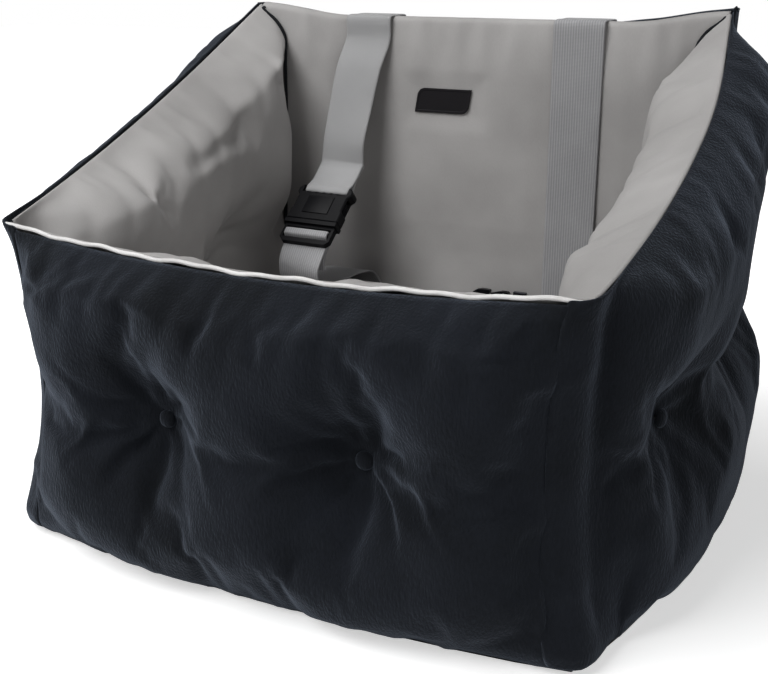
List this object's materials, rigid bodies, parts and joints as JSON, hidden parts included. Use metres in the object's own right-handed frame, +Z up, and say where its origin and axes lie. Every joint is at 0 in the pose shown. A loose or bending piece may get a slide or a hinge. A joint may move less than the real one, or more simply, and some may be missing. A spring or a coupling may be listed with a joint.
{
  "type": "dog car seat",
  "caption": "Padded booster box for a dog on a car seat: tufted plush walls, flat back, cushion, webbing loops with side-release buckles and a safety tether.",
  "frame": {"origin": "on the floor, under the middle of the box's seam outline", "axes": "+X to the right seen from the front, -Y the low front wall, +Y the back panel, +Z up"},
  "size_m": [0.6344, 0.4867, 0.4365],
  "materials": {
    "plush": "short dark plush",
    "velvet": "short light velvet",
    "fibre": "fibre filling",
    "foam": "foam",
    "webbing": "ribbed webbing",
    "non_slip": "coated non-slip fabric",
    "board": "matte",
    "plastic": "satin",
    "piping": "woven binding",
    "label": "matte",
    "tether": "woven webbing",
    "metal": "black, semi-gloss"
  },
  "bodies": {
    "seat": {"front_wall_outer_cover": "plush", "front_wall_filling": "fibre", "front_wall_inner_cover": "velvet", "front_wall_tuft_1_outer_button": "plush", "front_wall_tuft_1_inner_button": "velvet", "front_wall_tuft_1_cord": "fibre", "front_wall_tuft_2_outer_button": "plush", "front_wall_tuft_2_inner_button": "velvet", "front_wall_tuft_2_cord": "fibre", "left_wall_outer_cover": "plush", "left_wall_filling": "fibre", "left_wall_inner_cover": "velvet", "left_wall_tuft_1_outer_button": "plush", "left_wall_tuft_1_inner_button": "velvet", "left_wall_tuft_1_cord": "fibre", "left_wall_tuft_2_outer_button": "plush", "left_wall_tuft_2_inner_button": "velvet", "left_wall_tuft_2_cord": "fibre", "right_wall_outer_cover": "plush", "right_wall_filling": "fibre", "right_wall_inner_cover": "velvet", "right_wall_tuft_1_outer_button": "plush", "right_wall_tuft_1_inner_button": "velvet", "right_wall_tuft_1_cord": "fibre", "right_wall_tuft_2_outer_button": "plush", "right_wall_tuft_2_inner_button": "velvet", "right_wall_tuft_2_cord": "fibre", "back_panel_outer_cover": "plush", "back_panel_core": "foam", "back_panel_inner_cover": "velvet", "back_panel_piping": "piping", "label_patch": "label", "non_slip_bottom": "non_slip", "base_board": "board", "foam_block": "foam", "cushion_top_cover": "velvet", "cushion_filling": "fibre", "cushion_bottom_cover": "velvet", "left_long_webbing": "webbing", "left_short_webbing": "webbing", "right_long_webbing": "webbing", "right_short_webbing": "webbing", "left_buckle_socket": "plastic", "right_buckle_socket": "plastic", "tether_webbing": "tether"},
    "left_plug": {"left_buckle_plug": "plastic"},
    "left_plug_left_arm": {"left_buckle_left_arm": "plastic"},
    "left_plug_right_arm": {"left_buckle_right_arm": "plastic"},
    "right_plug": {"right_buckle_plug": "plastic"},
    "right_plug_left_arm": {"right_buckle_left_arm": "plastic"},
    "right_plug_right_arm": {"right_buckle_right_arm": "plastic"},
    "eye": {"tether_eye": "metal"},
    "hook": {"tether_hook": "metal", "tether_gate_pin": "metal"},
    "gate": {"tether_gate": "metal"}
  },
  "joints": [
    {"name": "left_buckle_release", "type": "slide", "parent": "seat", "child": "left_plug", "axis": [-0.026, -0.7518, -0.6588], "range_m": [0, 0.035], "deforming": ["left_buckle_left_arm", "left_buckle_right_arm", "left_short_webbing"]},
    {"name": "left_right_arm_squeeze", "type": "hinge", "parent": "left_plug", "child": "left_plug_right_arm", "pos_m": [-0.1179, 0.10108, 0.22922], "axis": [-0.0281, -0.6583, 0.7523], "range_deg": [0, 12], "stiffness_Nm_per_rad": 0.05},
    {"name": "left_left_arm_squeeze", "type": "hinge", "parent": "left_plug", "child": "left_plug_left_arm", "pos_m": [-0.15188, 0.10237, 0.22908], "axis": [0.0281, 0.6583, -0.7523], "range_deg": [0, 12], "stiffness_Nm_per_rad": 0.05},
    {"name": "right_buckle_release", "type": "slide", "parent": "seat", "child": "right_plug", "axis": [0, 0, -1], "range_m": [0, 0.035], "deforming": ["right_buckle_left_arm", "right_buckle_right_arm", "right_short_webbing"]},
    {"name": "right_right_arm_squeeze", "type": "hinge", "parent": "right_plug", "child": "right_plug_right_arm", "pos_m": [0.087, 0.2298, 0.2353], "axis": [0, 1, 0], "range_deg": [0, 12], "stiffness_Nm_per_rad": 0.05},
    {"name": "right_left_arm_squeeze", "type": "hinge", "parent": "right_plug", "child": "right_plug_left_arm", "pos_m": [0.121, 0.2298, 0.2353], "axis": [0, -1, 0], "range_deg": [0, 12], "stiffness_Nm_per_rad": 0.05},
    {"name": "tether_eye_swing", "type": "hinge", "parent": "seat", "child": "eye", "pos_m": [0.0625, 0.185, 0.1475], "axis": [0, 0, 1], "range_deg": [-1, 8]},
    {"name": "hook_swivel", "type": "hinge", "parent": "eye", "child": "hook", "pos_m": [0.05, 0.185, 0.1475], "axis": [1, 0, 0], "range_deg": [-10, 10]},
    {"name": "hook_gate", "type": "hinge", "parent": "hook", "child": "gate", "pos_m": [0.0395, 0.185, 0.157], "axis": [0, -1, 0], "range_deg": [0, 19], "stiffness_Nm_per_rad": 0.01}
  ]
}
